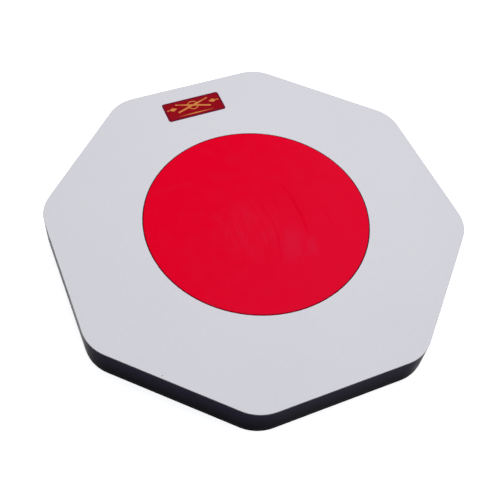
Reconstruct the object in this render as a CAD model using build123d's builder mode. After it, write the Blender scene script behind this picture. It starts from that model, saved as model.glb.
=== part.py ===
"""Octagonal drum practice pad: a laminated board with a red rubber disc let into its top.

The pad is a stack. From the table up it is a non-slip rubber mat on its adhesive sheet, a
balancing laminate, a fibreboard core with black painted edges, and a pale top laminate.
A round pocket goes through the top laminate into the core. A rubber playing disc is
bonded into it on an adhesive sheet and stands a little proud of the laminate.

Frame: origin at the middle of the mat's underside, +Z up, and flats of the octagon
square to X and Y. The badge lies along the +Y flat and reads upright from the -Y side.
"""

import os

from build123d import *

# Outline of the board
SIDES = 8
ACROSS_FLATS = 290.0
CORNER_RADIUS = 30.0

# Thicknesses of the stack, from the table up
MAT_THICKNESS = 3.0
MAT_ADHESIVE_THICKNESS = 0.2
LAMINATE_THICKNESS = 0.8
CORE_THICKNESS = 22.0

# The mat is cut a little inside the board
MAT_INSET = 0.3
MAT_EDGE_RADIUS = 0.3

# Both adhesive sheets are cut this far inside the piece that they hold
ADHESIVE_INSET = 1.0

# Eased edges of the two laminates
TOP_BEVEL = 0.2
BOTTOM_BEVEL = 0.3

# Rubber playing disc, and its fit in the pocket
DISC_DIAMETER = 165.3
DISC_THICKNESS = 6.0
DISC_PROUD = 0.35
DISC_SIDE_GAP = 0.7
DISC_EDGE_RADIUS = 0.4
DISC_ADHESIVE_THICKNESS = 0.3

# Badge on the top laminate
BADGE_WIDTH = 48.2
BADGE_DEPTH = 20.2
BADGE_CORNER_RADIUS = 2.0
BADGE_THICKNESS = 0.2
BADGE_X = -4.3
BADGE_Y = 120.3

# Levels above the table
mat_top = MAT_THICKNESS
backer_bottom = mat_top + MAT_ADHESIVE_THICKNESS
core_bottom = backer_bottom + LAMINATE_THICKNESS
core_top = core_bottom + CORE_THICKNESS
deck_top = core_top + LAMINATE_THICKNESS
disc_bottom = deck_top + DISC_PROUD - DISC_THICKNESS
pocket_floor = disc_bottom - DISC_ADHESIVE_THICKNESS

disc_radius = DISC_DIAMETER / 2
pocket_radius = disc_radius + DISC_SIDE_GAP


def add_outline(inset=0.0):
    """Adds the rounded octagon to the current sketch, with each side moved in by inset."""
    with BuildSketch(mode=Mode.PRIVATE) as outline:
        RegularPolygon(ACROSS_FLATS / 2 - inset, SIDES, major_radius=False, rotation=180 / SIDES)
        fillet(outline.vertices(), CORNER_RADIUS - inset)
    add(outline.sketch)


def save(part, name):
    """Labels a finished piece and writes it to parts/NAME.step."""
    part.label = name
    export_step(part, f"parts/{name}.step")


os.makedirs("parts", exist_ok=True)

# Non-slip mat: a sheet of rubber under the whole board, its lower edge rounded
with BuildPart() as non_slip_mat:
    with BuildSketch():
        add_outline(MAT_INSET)
    extrude(amount=MAT_THICKNESS)
    fillet(non_slip_mat.faces().sort_by(Axis.Z)[0].edges(), MAT_EDGE_RADIUS)
save(non_slip_mat.part, "non_slip_mat")

# Adhesive sheet that holds the mat
with BuildPart() as mat_adhesive:
    with BuildSketch(Plane.XY.offset(mat_top)):
        add_outline(MAT_INSET + ADHESIVE_INSET)
    extrude(amount=MAT_ADHESIVE_THICKNESS)
save(mat_adhesive.part, "mat_adhesive")

# Balancing laminate: the same sheet as on top, so that the board stays flat
with BuildPart() as balancing_laminate:
    with BuildSketch(Plane.XY.offset(backer_bottom)):
        add_outline()
    extrude(amount=LAMINATE_THICKNESS)
    chamfer(balancing_laminate.faces().sort_by(Axis.Z)[0].edges(), BOTTOM_BEVEL)
save(balancing_laminate.part, "balancing_laminate")

# Core board, with the blind pocket that holds the disc
with BuildPart() as core_board:
    with BuildSketch(Plane.XY.offset(core_bottom)):
        add_outline()
    extrude(amount=CORE_THICKNESS)
    with BuildSketch(Plane.XY.offset(pocket_floor)):
        Circle(pocket_radius)
    extrude(amount=core_top - pocket_floor, mode=Mode.SUBTRACT)
save(core_board.part, "core_board")

# Top laminate, with the pocket's mouth cut through it and its outer edge eased
with BuildPart() as top_laminate:
    with BuildSketch(Plane.XY.offset(core_top)):
        add_outline()
    extrude(amount=LAMINATE_THICKNESS)
    chamfer(top_laminate.faces().sort_by(Axis.Z)[-1].edges(), TOP_BEVEL)
    with BuildSketch(Plane.XY.offset(core_top)):
        Circle(pocket_radius)
    extrude(amount=LAMINATE_THICKNESS, mode=Mode.SUBTRACT)
save(top_laminate.part, "top_laminate")

# Adhesive sheet between the pocket's floor and the disc
with BuildPart() as disc_adhesive:
    with BuildSketch(Plane.XY.offset(pocket_floor)):
        Circle(disc_radius - ADHESIVE_INSET)
    extrude(amount=DISC_ADHESIVE_THICKNESS)
save(disc_adhesive.part, "disc_adhesive")

# Playing disc: a flat disc of rubber with its upper edge rounded
with BuildPart() as playing_disc:
    with BuildSketch(Plane.XY.offset(disc_bottom)):
        Circle(disc_radius)
    extrude(amount=DISC_THICKNESS)
    fillet(playing_disc.faces().sort_by(Axis.Z)[-1].edges(), DISC_EDGE_RADIUS)
save(playing_disc.part, "playing_disc")

# Badge: a thin printed plate stuck on the top laminate
with BuildPart() as badge:
    with BuildSketch(Plane.XY.offset(deck_top)):
        with Locations((BADGE_X, BADGE_Y)):
            RectangleRounded(BADGE_WIDTH, BADGE_DEPTH, BADGE_CORNER_RADIUS)
    extrude(amount=BADGE_THICKNESS)
save(badge.part, "badge")
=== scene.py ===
"""Looks for the octagonal practice pad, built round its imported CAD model.

The board, its laminates and the adhesive sheets are the CAD's own meshes with procedural
materials. The rubber disc, the rubber mat and the badge are modelled here, in the CAD's
places, and the badge's print is a piece of its own. Everything is in metres.
"""

import math

import bmesh
import bpy
from mathutils import Matrix, Vector, noise


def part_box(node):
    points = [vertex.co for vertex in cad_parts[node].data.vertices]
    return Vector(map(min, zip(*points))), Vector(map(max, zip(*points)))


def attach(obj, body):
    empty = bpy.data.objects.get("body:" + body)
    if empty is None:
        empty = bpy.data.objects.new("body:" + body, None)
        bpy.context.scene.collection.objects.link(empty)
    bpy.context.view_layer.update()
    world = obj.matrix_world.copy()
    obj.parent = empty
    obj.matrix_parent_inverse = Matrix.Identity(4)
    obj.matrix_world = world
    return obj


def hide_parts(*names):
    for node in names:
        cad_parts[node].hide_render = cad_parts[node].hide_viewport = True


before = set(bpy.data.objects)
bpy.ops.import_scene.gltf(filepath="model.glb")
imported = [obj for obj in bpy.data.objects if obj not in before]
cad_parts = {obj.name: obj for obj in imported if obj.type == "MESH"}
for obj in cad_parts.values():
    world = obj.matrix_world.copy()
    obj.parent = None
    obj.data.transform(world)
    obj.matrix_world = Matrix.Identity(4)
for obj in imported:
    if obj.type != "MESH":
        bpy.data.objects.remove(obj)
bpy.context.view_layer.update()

MM = 0.001

# Outline of the board, as in the CAD model
SIDES = 8
CORNER_RADIUS = 30 * MM
CORNER_STEPS = 14

# Levels and sizes read from the frame
deck_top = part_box("top_laminate")[1].z
core_low, core_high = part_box("core_board")
half_width = core_high.x
disc_low, disc_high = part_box("playing_disc")
disc_radius = disc_high.y
mat_low, mat_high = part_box("non_slip_mat")
badge_low, badge_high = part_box("badge")

# Camera, given round the point of the top face that it looks at
CAMERA_AZIMUTH = -28.39
CAMERA_ELEVATION = 54.87
CAMERA_ROLL = 6.82
CAMERA_LENS = 57.25
CAMERA_SENSOR = 36.0
CAMERA_DISTANCE = 3.897 * half_width
CAMERA_AIM = Vector((-0.1116 * half_width, -0.1750 * half_width, deck_top))


# ---------------------------------------------------------------- camera and stage


def direction(azimuth, elevation):
    """Unit vector from the pad towards a viewer at these angles, in degrees."""
    a, e = math.radians(azimuth), math.radians(elevation)
    return Vector((math.sin(a) * math.cos(e), -math.cos(a) * math.cos(e), math.sin(e)))


def link(thing):
    """Puts a new object in the scene."""
    bpy.context.scene.collection.objects.link(thing)
    return thing


def make_camera():
    """The photo's camera, which looks down on the pad's near left side."""
    data = bpy.data.cameras.new("camera")
    data.lens = CAMERA_LENS
    data.sensor_width = CAMERA_SENSOR
    data.clip_start = 0.01
    camera = link(bpy.data.objects.new("camera", data))
    back = direction(CAMERA_AZIMUTH, CAMERA_ELEVATION)
    turn = (-back).to_track_quat("-Z", "Y").to_matrix().to_4x4()
    roll = Matrix.Rotation(math.radians(CAMERA_ROLL), 4, "Z")
    camera.matrix_world = Matrix.Translation(CAMERA_AIM + back * CAMERA_DISTANCE) @ turn @ roll
    bpy.context.scene.camera = camera


def add_light(name, azimuth, elevation, distance, size, power, colour):
    """A square area light that faces the middle of the pad."""
    data = bpy.data.lights.new(name, "AREA")
    data.size = size
    data.energy = power
    data.color = colour
    light = link(bpy.data.objects.new(name, data))
    towards = direction(azimuth, elevation)
    light.location = towards * distance
    light.rotation_mode = "QUATERNION"
    light.rotation_quaternion = (-towards).to_track_quat("-Z", "Y")


KEY_LIGHT = dict(azimuth=150, elevation=62, distance=1.8, size=1.2, power=19.8, colour=(1.0, 0.98, 0.95))
FILL_LIGHT = dict(azimuth=48, elevation=34, distance=1.6, size=1.2, power=3.8, colour=(0.95, 0.96, 1.0))
SKY_ZENITH = 0.90
SKY_HORIZON = 0.12
SKY_COLOUR = (0.94, 0.96, 1.0, 1.0)
SHOWN_SKY = (1.0, 1.0, 1.0, 1.0)
FLOOR_WHITE = (0.93, 0.93, 0.94)
FLOOR_GLOW = 0.62
FLOOR_HOLE_INSET = 3 * MM
FLOOR_REACH = 25  # times the hole


def make_sky():
    """Soft light from above and below that fades towards the horizon, and a white backdrop."""
    world = bpy.data.worlds.new("studio")
    bpy.context.scene.world = world
    world.use_nodes = True
    tree = world.node_tree
    soft = tree.nodes["Background"]
    soft.inputs["Color"].default_value = SKY_COLOUR
    up = tree.nodes.new("ShaderNodeSeparateXYZ")
    tree.links.new(tree.nodes.new("ShaderNodeTexCoord").outputs["Generated"], up.inputs["Vector"])
    height = tree.nodes.new("ShaderNodeMath")
    height.operation = "ABSOLUTE"
    tree.links.new(up.outputs["Z"], height.inputs["Value"])
    fade = tree.nodes.new("ShaderNodeMapRange")
    fade.inputs["To Min"].default_value = SKY_HORIZON
    fade.inputs["To Max"].default_value = SKY_ZENITH
    tree.links.new(height.outputs["Value"], fade.inputs["Value"])
    tree.links.new(fade.outputs["Result"], soft.inputs["Strength"])
    backdrop = tree.nodes.new("ShaderNodeBackground")
    backdrop.inputs["Color"].default_value = SHOWN_SKY
    seen = tree.nodes.new("ShaderNodeMixShader")
    tree.links.new(tree.nodes.new("ShaderNodeLightPath").outputs["Is Camera Ray"], seen.inputs["Fac"])
    tree.links.new(soft.outputs["Background"], seen.inputs[1])
    tree.links.new(backdrop.outputs["Background"], seen.inputs[2])
    tree.links.new(seen.outputs["Shader"], tree.nodes["World Output"].inputs["Surface"])


def make_floor():
    """Pale floor lit from within, open under the pad so that the mat can be seen from below."""
    hole = octagon_ring(FLOOR_HOLE_INSET, 0)
    rim = [point * FLOOR_REACH for point in hole]
    bm = bmesh.new()
    bridge(bm, [[bm.verts.new(point) for point in ring] for ring in (rim, hole)])
    mesh = bpy.data.meshes.new("floor")
    bm.to_mesh(mesh)
    bm.free()
    paint = Look("floor_paint", specular=0.1, roughness=0.9)
    paint.colour(FLOOR_WHITE)
    paint.shader.inputs["Emission Strength"].default_value = FLOOR_GLOW
    mesh.materials.append(paint.material)
    link(bpy.data.objects.new("floor", mesh))


def make_studio():
    """A large soft light behind the pad, a weak one at its front right, and the sky and floor."""
    make_sky()
    make_floor()
    add_light("key", **KEY_LIGHT)
    add_light("fill", **FILL_LIGHT)


# ---------------------------------------------------------------- material building


class Look:
    """A procedural material: its node tree, its shader and the place of each point."""

    def __init__(self, name, specular, roughness=0.5, metallic=0.0):
        self.material = bpy.data.materials.new(name)
        self.material.use_nodes = True
        self.tree = self.material.node_tree
        self.shader = self.tree.nodes["Principled BSDF"]
        self.shader.inputs["Roughness"].default_value = roughness
        self.shader.inputs["Specular IOR Level"].default_value = specular
        self.shader.inputs["Metallic"].default_value = metallic
        self.place = self.tree.nodes.new("ShaderNodeTexCoord").outputs["Object"]

    def set(self, socket, value):
        """Gives a socket another socket's output, or a plain value."""
        if isinstance(value, bpy.types.NodeSocket):
            self.tree.links.new(value, socket)
        elif isinstance(value, tuple) and socket.type == "RGBA":
            socket.default_value = (*value, 1.0)
        else:
            socket.default_value = value

    def colour(self, value):
        """The shader's base colour."""
        self.set(self.shader.inputs["Base Color"], value)

    def roughness(self, value):
        """The shader's roughness, where it varies."""
        self.set(self.shader.inputs["Roughness"], value)

    def maths(self, operation, *values):
        """The result of one arithmetic operation on sockets or plain numbers."""
        node = self.tree.nodes.new("ShaderNodeMath")
        node.operation = operation
        for socket, value in zip(node.inputs, values):
            self.set(socket, value)
        return node.outputs["Value"]

    def axis(self, name, vector=None):
        """One coordinate, X, Y or Z, of a vector, by default of the point's place."""
        node = self.tree.nodes.new("ShaderNodeSeparateXYZ")
        self.set(node.inputs["Vector"], vector or self.place)
        return node.outputs[name]

    def moved(self, offset=(0, 0, 0), turn=0.0, stretch=(1, 1, 1)):
        """The point's place, shifted, then turned about Z, then stretched."""
        shifted = self.tree.nodes.new("ShaderNodeVectorMath")
        shifted.operation = "SUBTRACT"
        self.set(shifted.inputs[0], self.place)
        shifted.inputs[1].default_value = offset
        turned = self.tree.nodes.new("ShaderNodeVectorRotate")
        turned.rotation_type = "Z_AXIS"
        self.set(turned.inputs["Vector"], shifted.outputs["Vector"])
        turned.inputs["Angle"].default_value = math.radians(turn)
        stretched = self.tree.nodes.new("ShaderNodeVectorMath")
        stretched.operation = "MULTIPLY"
        self.set(stretched.inputs[0], turned.outputs["Vector"])
        stretched.inputs[1].default_value = stretch
        return stretched.outputs["Vector"]

    def length(self, vector):
        """How long a vector is."""
        node = self.tree.nodes.new("ShaderNodeVectorMath")
        node.operation = "LENGTH"
        self.set(node.inputs[0], vector)
        return node.outputs["Value"]

    def clouds(self, grain, detail=3.0, vector=None):
        """Soft noise from 0 to 1 whose features are about grain metres across."""
        node = self.tree.nodes.new("ShaderNodeTexNoise")
        self.set(node.inputs["Vector"], vector or self.place)
        node.inputs["Scale"].default_value = 1 / grain
        node.inputs["Detail"].default_value = detail
        return node.outputs["Fac"]

    def cells(self, grain):
        """Distance to the middle of the nearest of many cells, grain metres apart, in grains."""
        node = self.tree.nodes.new("ShaderNodeTexVoronoi")
        self.set(node.inputs["Vector"], self.place)
        node.inputs["Scale"].default_value = 1 / grain
        return node.outputs["Distance"]

    def span(self, value, low, high, out_low=0.0, out_high=1.0):
        """Maps value from the range low to high onto out_low to out_high, and no further."""
        node = self.tree.nodes.new("ShaderNodeMapRange")
        self.set(node.inputs["Value"], value)
        node.inputs["From Min"].default_value = low
        node.inputs["From Max"].default_value = high
        node.inputs["To Min"].default_value = out_low
        node.inputs["To Max"].default_value = out_high
        return node.outputs["Result"]

    def blend(self, share, first, second):
        """The first colour where share is 0, and the second where it is 1."""
        node = self.tree.nodes.new("ShaderNodeMix")
        node.data_type = "RGBA"
        sockets = {socket.identifier: socket for socket in node.inputs}
        self.set(sockets["Factor_Float"], share)
        self.set(sockets["A_Color"], first)
        self.set(sockets["B_Color"], second)
        return next(s for s in node.outputs if s.identifier == "Result_Color")

    def join(self, x, y):
        """A flat vector from two values."""
        node = self.tree.nodes.new("ShaderNodeCombineXYZ")
        for socket, value in zip(node.inputs, (x, y)):
            self.set(socket, value)
        return node.outputs["Vector"]

    def relief(self, *layers):
        """Bumps the surface. Each layer is a height from 0 to 1 and its depth in metres."""
        normal = None
        for height, depth in layers:
            node = self.tree.nodes.new("ShaderNodeBump")
            node.inputs["Distance"].default_value = depth
            self.set(node.inputs["Height"], height)
            if normal:
                self.set(node.inputs["Normal"], normal)
            normal = node.outputs["Normal"]
        self.set(self.shader.inputs["Normal"], normal)


# ---------------------------------------------------------------- materials

FLAT = (1, 1, 0)  # a stretch that leaves out the height

DECOR_SHEET = 0.1 * MM
PALE_GREYS = ((0.520, 0.515, 0.556), (0.552, 0.547, 0.586))
DULLER_GREYS = ((0.512, 0.508, 0.551), (0.540, 0.536, 0.577))
PHENOLIC = (0.016, 0.012, 0.011)
BLEMISH = (-106.3 * MM, -95.9 * MM, 0)
BLEMISH_RADIUS = 0.4 * MM
BLEMISH_GREY = (0.06, 0.06, 0.07)


def pale_laminate():
    """Satin pale grey decor sheet over a dark phenolic core that shows on the bevel."""
    look = Look("pale_laminate", specular=0.3)
    fleck = look.span(look.clouds(0.7 * MM, detail=2.0), 0.3, 0.7)
    drift = look.span(look.clouds(70 * MM, detail=2.0), 0.3, 0.7)
    pale = look.blend(drift, look.blend(fleck, *DULLER_GREYS), look.blend(fleck, *PALE_GREYS))
    from_blemish = look.length(look.moved(offset=BLEMISH, stretch=FLAT))
    clear = look.span(from_blemish, BLEMISH_RADIUS * 0.6, BLEMISH_RADIUS)
    pale = look.blend(clear, BLEMISH_GREY, pale)
    decor = look.span(look.axis("Z"), deck_top - DECOR_SHEET * 1.2, deck_top - DECOR_SHEET)
    look.colour(look.blend(decor, PHENOLIC, pale))
    look.roughness(look.span(look.clouds(3 * MM), 0.3, 0.7, 0.42, 0.50))
    look.relief((look.clouds(0.45 * MM, detail=2.0), 0.012 * MM))
    return look.material


BLACK_PAINT = (0.0016, 0.0016, 0.0028)
# Paint colour at the top of the outside walls: a painted reflection of the floor, lighter and bluer than
# the black paint
SHEEN_LIT_PAINT = (0.0135, 0.0120, 0.0235)
# Fibres in the disc's pocket, darker than raw fibreboard as painted shade in the groove round the disc
SHADED_POCKET_FIBRES = ((0.075, 0.045, 0.026), (0.13, 0.085, 0.052))
POCKET_MARGIN = 2 * MM  # from the disc's edge to the end of the bare fibres


def painted_board():
    """Fibreboard in black paint, with a painted reflection that lightens the outside walls towards their
    top, and fibres in the disc's pocket, darkened as painted shade.
    """
    look = Look("painted_board", specular=0.0022)
    fibres = look.clouds(0.5 * MM, detail=4.0, vector=look.moved(stretch=(1, 1, 2.5)))
    bare = look.blend(fibres, *SHADED_POCKET_FIBRES)
    upwards = look.span(look.axis("Z"), core_low.z, core_high.z)
    # Painted sheen: the paint lightens towards the top of the walls and stays darker low down as painted
    # contact shade; the noise varies its strength
    painted_sheen_share = look.maths("MULTIPLY", upwards, look.span(look.clouds(12 * MM), 0.2, 0.6, 0.75, 1.0))
    paint = look.blend(painted_sheen_share, BLACK_PAINT, SHEEN_LIT_PAINT)
    past_pocket = disc_radius + POCKET_MARGIN
    from_middle = look.length(look.moved(stretch=FLAT))
    look.colour(look.blend(look.span(from_middle, past_pocket, past_pocket + 1 * MM), bare, paint))
    look.roughness(look.span(look.clouds(9 * MM), 0.3, 0.7, 0.20, 0.28))
    look.relief((look.clouds(2.2 * MM), 0.02 * MM), (fibres, 0.012 * MM))
    return look.material


PHENOLIC_BROWNS = ((0.030, 0.020, 0.015), (0.055, 0.037, 0.027))
PAINT_CREEP = 0.02 * MM


def backing_laminate():
    """Sanded dark brown phenolic sheet, with the board's paint over its edge."""
    look = Look("backing_laminate", specular=0.03)
    streaks = look.clouds(1.5 * MM, vector=look.moved(turn=22, stretch=(0.06, 1, 1)))
    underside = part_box("balancing_laminate")[0].z
    painted = look.span(look.axis("Z"), underside + PAINT_CREEP, underside + 2 * PAINT_CREEP)
    look.colour(look.blend(painted, look.blend(streaks, *PHENOLIC_BROWNS), BLACK_PAINT))
    look.roughness(look.span(painted, 0, 1, 0.6, 0.4))
    look.relief((streaks, 0.02 * MM))
    return look.material


ADHESIVE_TANS = ((0.50, 0.42, 0.28), (0.60, 0.52, 0.37))


def adhesive_film():
    """Tan double-sided film, slightly mottled where it has wetted the faces."""
    look = Look("adhesive_film", specular=0.4, roughness=0.35)
    wetted = look.span(look.clouds(6 * MM), 0.35, 0.65)
    look.colour(look.blend(wetted, *ADHESIVE_TANS))
    look.relief((look.clouds(2 * MM), 0.03 * MM))
    return look.material


CLEAN_RED = (0.643, 0.0005, 0.0168)
# Red at the disc's front right: a painted sheen, lighter and less saturated than the clean red
SHEEN_LIT_RED = (0.619, 0.0030, 0.0226)
WORN_RED = (0.612, 0.0050, 0.0258)
WORN_MIDDLE = (-8 * MM, -9 * MM, 0)
WORN_RADII = (14 * MM, 34 * MM)

WIPED_RED = (0.606, 0.0006, 0.0165)
WIPE_PIVOT = (-85 * MM, -4 * MM, 0)
WIPE_FADE = 6
# Radius in mm about the pivot, first and last angle in degrees, and strength of each wipe
WIPES = ((94, -27, 13, 0.55), (116, -13, 16, 1.0), (136, -11, -2, 0.8))

SMUDGED_RED = (0.600, 0.0058, 0.0300)
# Place and radius of each smudge, in mm
SMUDGES = ((15, -32, 9), (27, -38, 5))


def add_wipes(look, radius, turn, red):
    """A few thin darker arcs across the rubber, all about one far pivot."""
    wander = look.span(look.clouds(26 * MM), 0.3, 0.7, -1.5 * MM, 1.5 * MM)
    for reach, start, end, strength in WIPES:
        past = look.maths("SUBTRACT", look.maths("ADD", radius, wander), reach * MM)
        off = look.maths("ABSOLUTE", past)
        thin = look.span(off, 0.3 * MM, 1.5 * MM, strength, 0.0)
        begun = look.span(turn, math.radians(start), math.radians(start + WIPE_FADE))
        unended = look.span(turn, math.radians(end - WIPE_FADE), math.radians(end), 1.0, 0.0)
        share = look.maths("MULTIPLY", thin, look.maths("MULTIPLY", begun, unended))
        red = look.blend(share, red, WIPED_RED)
    return red


def add_smudges(look, red):
    """Cool chalky smudges beside the wipes, ragged at their edges."""
    ragged = look.span(look.clouds(5 * MM, detail=4.0), 0.3, 0.7, -0.25, 0.25)
    for x, y, radius in SMUDGES:
        near = look.length(look.moved((x * MM, y * MM, 0), turn=20, stretch=(1, 0.5, 0)))
        reach = look.maths("ADD", look.maths("DIVIDE", near, radius * MM), ragged)
        red = look.blend(look.span(reach, 0.3, 1.15, 1.0, 0.0), red, SMUDGED_RED)
    return red


def playing_rubber():
    """Matte red rubber with a painted sheen that lightens it towards the front right, a worn patch,
    smudges and faint wiped arcs.
    """
    look = Look("playing_rubber", specular=0.003)
    x, y = (look.axis(name, look.moved(offset=WIPE_PIVOT)) for name in "XY")
    radius = look.length(look.moved(offset=WIPE_PIVOT, stretch=FLAT))
    turn = look.maths("ARCTAN2", y, x)
    along = look.maths("MULTIPLY", turn, 9 * MM)
    streaks = look.span(look.clouds(2.2 * MM, detail=4.0, vector=look.join(radius, along)), 0.42, 0.62)
    mottle = look.span(look.clouds(13 * MM, detail=4.0), 0.3, 0.7, -0.22, 0.22)
    # Painted sheen: a ramp that lightens the red towards the front right, with random mottle over it
    across = look.axis("X", look.moved(turn=45))
    sheen_and_mottle = look.maths("ADD", look.span(across, -60 * MM, 50 * MM), mottle)
    red = look.blend(sheen_and_mottle, CLEAN_RED, SHEEN_LIT_RED)
    from_worn = look.length(look.moved(offset=WORN_MIDDLE, stretch=FLAT))
    worn = look.maths("ADD", look.span(from_worn, *WORN_RADII, 1.0, 0.0), mottle)
    worn = look.maths("MULTIPLY", worn, look.span(streaks, 0, 1, 0.1, 1.0))
    red = look.blend(worn, red, WORN_RED)
    red = add_smudges(look, red)
    look.colour(add_wipes(look, radius, turn, red))
    look.roughness(look.span(streaks, 0, 1, 0.56, 0.66))
    look.relief((look.clouds(0.5 * MM, detail=3.0), 0.02 * MM), (streaks, 0.006 * MM))
    return look.material


MAT_BLACKS = ((0.0036, 0.0035, 0.0046), (0.0062, 0.0060, 0.0072))
MAT_UNDER_GREYS = ((0.011, 0.011, 0.012), (0.048, 0.047, 0.050))


def mat_rubber():
    """Matte black rubber, pebbled, and dusty on the face that rubs on the table."""
    look = Look("mat_rubber", specular=0.002, roughness=0.85)
    pebbles = look.cells(1.8 * MM)
    dusty = look.span(look.clouds(22 * MM), 0.35, 0.75)
    crowns = look.span(pebbles, 0.2, 0.5, 1.0, 0.2)
    rubbed = look.maths("MULTIPLY", crowns, look.span(dusty, 0, 1, 0.6, 1.0))
    under = look.span(look.axis("Z"), 0.02 * MM, 0.3 * MM, 1.0, 0.0)
    black = look.blend(dusty, *MAT_BLACKS)
    look.colour(look.blend(under, black, look.blend(rubbed, *MAT_UNDER_GREYS)))
    look.relief((pebbles, -0.12 * MM), (look.clouds(0.3 * MM), 0.02 * MM))
    return look.material


CRIMSONS = ((0.218, 0.0006, 0.0052), (0.246, 0.0012, 0.0075))
BADGE_RIM = (0.110, 0.004, 0.022)
BADGE_RIM_WIDTH = 1 * MM


def badge_film():
    """Crimson film with a low sheen, darker along its cut edge."""
    look = Look("badge_film", specular=0.015, roughness=0.45)
    middle = (badge_low + badge_high) / 2
    half = (badge_high - badge_low) / 2
    x, y = (look.maths("ABSOLUTE", look.axis(name, look.moved(offset=middle))) for name in "XY")
    past_x, past_y = look.maths("SUBTRACT", x, half.x), look.maths("SUBTRACT", y, half.y)
    past_edge = look.maths("MAXIMUM", past_x, past_y)
    rim = look.span(past_edge, -1.5 * BADGE_RIM_WIDTH, -BADGE_RIM_WIDTH)
    look.colour(look.blend(rim, look.blend(look.clouds(5 * MM), *CRIMSONS), BADGE_RIM))
    look.relief((look.clouds(1.5 * MM), 0.006 * MM))
    return look.material


GOLDS = ((0.42, 0.142, 0.030), (0.52, 0.192, 0.045))


def gold_ink():
    """Screen-printed gold ink, a little uneven."""
    look = Look("gold_ink", specular=0.05, metallic=0.1)
    uneven = look.clouds(0.5 * MM, detail=3.0)
    look.colour(look.blend(uneven, *GOLDS))
    look.roughness(look.span(uneven, 0.3, 0.7, 0.36, 0.48))
    look.relief((uneven, 0.008 * MM))
    return look.material


# ---------------------------------------------------------------- mesh building


def octagon_ring(inset, z):
    """Points round the board's outline, with its sides moved in by inset."""
    arc_middle = (half_width - CORNER_RADIUS) / math.cos(math.pi / SIDES)
    radius = CORNER_RADIUS - inset
    ring = []
    for corner in range(SIDES):
        outward = (corner + 0.5) * math.tau / SIDES
        for step in range(CORNER_STEPS + 1):
            angle = outward + (step / CORNER_STEPS - 0.5) * math.tau / SIDES
            x = arc_middle * math.cos(outward) + radius * math.cos(angle)
            y = arc_middle * math.sin(outward) + radius * math.sin(angle)
            ring.append(Vector((x, y, z)))
    return ring


def rounded_rectangle(middle, half_x, half_y, radius, z, steps=10):
    """Points round a rectangle with rounded corners."""
    ring = []
    for corner, (sign_x, sign_y) in enumerate(((1, 1), (-1, 1), (-1, -1), (1, -1))):
        for step in range(steps + 1):
            angle = (corner + step / steps) * math.pi / 2
            x = sign_x * (half_x - radius) + radius * math.cos(angle)
            y = sign_y * (half_y - radius) + radius * math.sin(angle)
            ring.append(Vector((middle.x + x, middle.y + y, z)))
    return ring


def circle_ring(radius, z, segments=256):
    """Points round a circle about the pad's middle."""
    turns = (i * math.tau / segments for i in range(segments))
    return [Vector((radius * math.cos(a), radius * math.sin(a), z)) for a in turns]


def bridge(bm, rings):
    """Walls between successive rings of vertices."""
    for low, high in zip(rings, rings[1:]):
        count = len(low)
        for i in range(count):
            j = (i + 1) % count
            bm.faces.new((low[i], low[j], high[j], high[i]))


def add_stack(bm, rings):
    """A closed solid through rings of points that run from its underside to its top."""
    made = [[bm.verts.new(point) for point in ring] for ring in rings]
    bridge(bm, made)
    bm.faces.new(list(reversed(made[0])))
    bm.faces.new(made[-1])


def finish_mesh(name, bm, material, smooth=True):
    """Turns a bmesh into a piece of the pad."""
    bmesh.ops.recalc_face_normals(bm, faces=bm.faces)
    mesh = bpy.data.meshes.new(name)
    bm.to_mesh(mesh)
    bm.free()
    mesh.materials.append(material)
    for face in mesh.polygons:
        face.use_smooth = smooth
    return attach(link(bpy.data.objects.new(name, mesh)), "root")


def rounded_edge(radius, steps=5):
    """(inset, drop) pairs over a quarter-round edge, from the side up to the top face."""
    for step in range(steps + 1):
        angle = step / steps * math.pi / 2
        yield radius * (1 - math.cos(angle)), radius * (1 - math.sin(angle))


# ---------------------------------------------------------------- pieces made here

DISC_RIM_RADIUS = 0.4 * MM
DISC_FOOT_RADIUS = 0.15 * MM
DISC_RING_SPACING = 3 * MM
DISC_RIPPLE = 0.035 * MM
RIPPLE_LENGTH = 34 * MM


def disc_top_height(x, y):
    """The rubber isn't perfectly flat: its top dips by up to the ripple's depth."""
    wave = noise.noise(Vector((x / RIPPLE_LENGTH, y / RIPPLE_LENGTH, 0)))
    return disc_high.z - DISC_RIPPLE * (0.5 + 0.5 * wave)


def make_playing_disc():
    """Rubber disc with a soft rounded rim and a very slightly uneven top."""
    support_radius = disc_radius * 0.9
    rings = [circle_ring(support_radius, disc_low.z)]
    for inset, rise in reversed(list(rounded_edge(DISC_FOOT_RADIUS, steps=3))):
        rings.append(circle_ring(disc_radius - inset, disc_low.z + rise))
    for inset, drop in rounded_edge(DISC_RIM_RADIUS):
        rings.append(circle_ring(disc_radius - inset, disc_high.z - DISC_RIPPLE / 2 - drop))
    flat_radius = disc_radius - DISC_RIM_RADIUS
    for i in range(1, int(flat_radius / DISC_RING_SPACING)):
        ring = circle_ring(flat_radius - i * DISC_RING_SPACING, 0)
        rings.append([Vector((p.x, p.y, disc_top_height(p.x, p.y))) for p in ring])
    bm = bmesh.new()
    add_stack(bm, rings)
    disc = finish_mesh("playing_disc_rubber", bm, playing_rubber())
    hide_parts("playing_disc")


MAT_INSET = half_width - mat_high.x
MAT_EDGE_RADIUS = 0.4 * MM
MAT_TOP_BEVEL = 0.1 * MM
MAT_SUPPORT = 1.5 * MM


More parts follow.
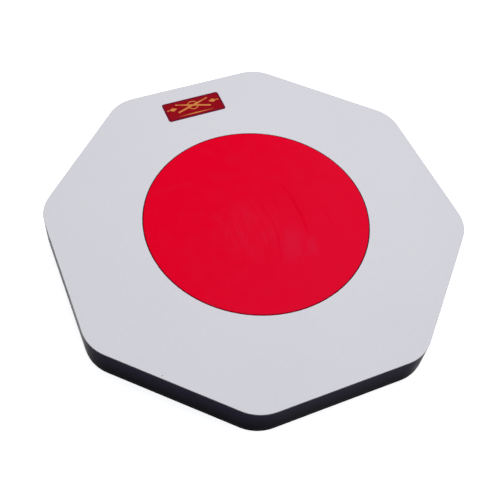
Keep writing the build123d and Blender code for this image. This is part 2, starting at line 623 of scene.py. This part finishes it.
def make_mat():
    """Rubber mat with a rounded lower edge and a fine bevel above."""
    rings = [octagon_ring(MAT_INSET + MAT_SUPPORT, mat_low.z)]
    for inset, rise in reversed(list(rounded_edge(MAT_EDGE_RADIUS))):
        rings.append(octagon_ring(MAT_INSET + inset, mat_low.z + rise))
    rings.append(octagon_ring(MAT_INSET, mat_high.z - MAT_TOP_BEVEL))
    rings.append(octagon_ring(MAT_INSET + MAT_TOP_BEVEL, mat_high.z))
    rings.append(octagon_ring(MAT_INSET + MAT_SUPPORT, mat_high.z))
    bm = bmesh.new()
    add_stack(bm, rings)
    mat = finish_mesh("base_mat_rubber", bm, mat_rubber())
    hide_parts("non_slip_mat")


BADGE_CORNER = 2 * MM
BADGE_EDGE_RADIUS = 0.08 * MM
BADGE_SUPPORT = 0.3 * MM


def make_badge():
    """Thin plate with rounded corners and a softened top edge."""
    half = (badge_high - badge_low) / 2
    middle = (badge_high + badge_low) / 2

    def ring(inset, z):
        return rounded_rectangle(middle, half.x - inset, half.y - inset, BADGE_CORNER - inset, z)

    rings = [ring(BADGE_SUPPORT, badge_low.z), ring(0, badge_low.z)]
    rings += [ring(inset, badge_high.z - drop) for inset, drop in rounded_edge(BADGE_EDGE_RADIUS, 4)]
    rings.append(ring(BADGE_SUPPORT, badge_high.z))
    bm = bmesh.new()
    add_stack(bm, rings)
    plate = finish_mesh("badge_plate", bm, badge_film())
    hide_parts("badge")


INK_HEIGHT = 0.03 * MM
INK_SINK = 0.01 * MM
CROSSING_LIFT = 0.012 * MM
EMBLEM_RISE = 1.9 * MM
HOOP_RADII = (4.6 * MM, 3.8 * MM)
STICK_LENGTH = 29 * MM
STICK_TURN = 18
# Distance out from the emblem's middle, half length and half height of each lozenge, in mm
LOZENGES = ((16.9, 3.4, 2.0), (21.1, 1.1, 0.8))

RULE_DROP = 6.8 * MM
RULE_HALF_LENGTH = 15.5 * MM
RULE_HALF_HEIGHT = 0.6 * MM


def stick_outline(length):
    """Half outline of a drumstick lying along X: (distance from the butt, half width)."""
    thick, neck, bead, bead_length = 0.80 * MM, 0.34 * MM, 0.66 * MM, 2.3 * MM
    shoulder = length * 0.66
    tip = length - bead_length
    butt = [(0.0, thick * 0.55), (0.35 * MM, thick)]
    taper = [(shoulder, thick), (tip, neck)]
    steps = 8
    head = [
        (tip + (length - tip) * (1 - math.cos(a)) / 2, max(neck * 0.2, bead * math.sin(a)))
        for a in (math.pi * i / steps for i in range(2, steps + 1))
    ]
    return butt + taper + head


def print_stick(bm, length, turn, rise, middle, base):
    """One drumstick of the ornament, turned about its own middle."""
    half = stick_outline(length)
    flat = [(x - length / 2, w) for x, w in half] + [(x - length / 2, -w) for x, w in reversed(half)]
    angle = math.radians(turn)
    points = [
        Vector(
            (
                middle.x + x * math.cos(angle) - y * math.sin(angle),
                middle.y + x * math.sin(angle) + y * math.cos(angle),
                base,
            )
        )
        for x, y in flat
    ]
    top = [p + Vector((0, 0, rise)) for p in points]
    add_stack(bm, [points, top])


def print_lozenge(bm, half_length, half_height, middle, base):
    """A long diamond of the ornament, lying along X."""
    corners = ((half_length, 0), (0, half_height), (-half_length, 0), (0, -half_height))
    points = [Vector((middle.x + x, middle.y + y, base)) for x, y in corners]
    add_stack(bm, [points, [p + Vector((0, 0, INK_HEIGHT)) for p in points]])


def print_hoop(bm, outer, inner, middle, base):
    """A drum's hoop seen from above: a flat ring."""

    def ring(radius, z):
        return [middle.xy.to_3d() + point for point in circle_ring(radius, z, segments=48)]

    top = base + INK_HEIGHT / 2
    loops = (ring(outer, base), ring(outer, top), ring(inner, top), ring(inner, base))
    made = [[bm.verts.new(point) for point in loop] for loop in loops]
    bridge(bm, [*made, made[0]])


def make_badge_print():
    """Plain ornament in gold ink: drumsticks crossed on a hoop, lozenges, and a rule below."""
    middle = (badge_high + badge_low) / 2
    base = badge_high.z - INK_SINK
    emblem = middle + Vector((0, EMBLEM_RISE, 0))
    bm = bmesh.new()
    print_hoop(bm, *HOOP_RADII, emblem, base)
    print_stick(bm, STICK_LENGTH, STICK_TURN, INK_HEIGHT, emblem, base)
    print_stick(bm, STICK_LENGTH, 180 - STICK_TURN, INK_HEIGHT + CROSSING_LIFT, emblem, base)
    for side in (-1, 1):
        for out, half_length, half_height in LOZENGES:
            place = emblem + Vector((side * out * MM, 0, 0))
            print_lozenge(bm, half_length * MM, half_height * MM, place, base)
    rule_middle = middle - Vector((0, RULE_DROP, 0))
    print_lozenge(bm, RULE_HALF_LENGTH, RULE_HALF_HEIGHT, rule_middle, base)
    ink = finish_mesh("badge_print", bm, gold_ink(), smooth=False)


# ---------------------------------------------------------------- the scene

CAD_FINISHES = {
    "top_laminate": pale_laminate,
    "core_board": painted_board,
    "balancing_laminate": backing_laminate,
    "mat_adhesive": adhesive_film,
    "disc_adhesive": adhesive_film,
}


def finish_cad_nodes():
    """Gives the CAD's own meshes their materials."""
    made = {}
    for node, finish in CAD_FINISHES.items():
        if finish not in made:
            made[finish] = finish()
        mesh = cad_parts[node].data
        mesh.materials.clear()
        mesh.materials.append(made[finish])


make_camera()
make_studio()
finish_cad_nodes()
make_playing_disc()
make_mat()
make_badge()
make_badge_print()

bpy.context.scene.view_settings.view_transform = "Standard"
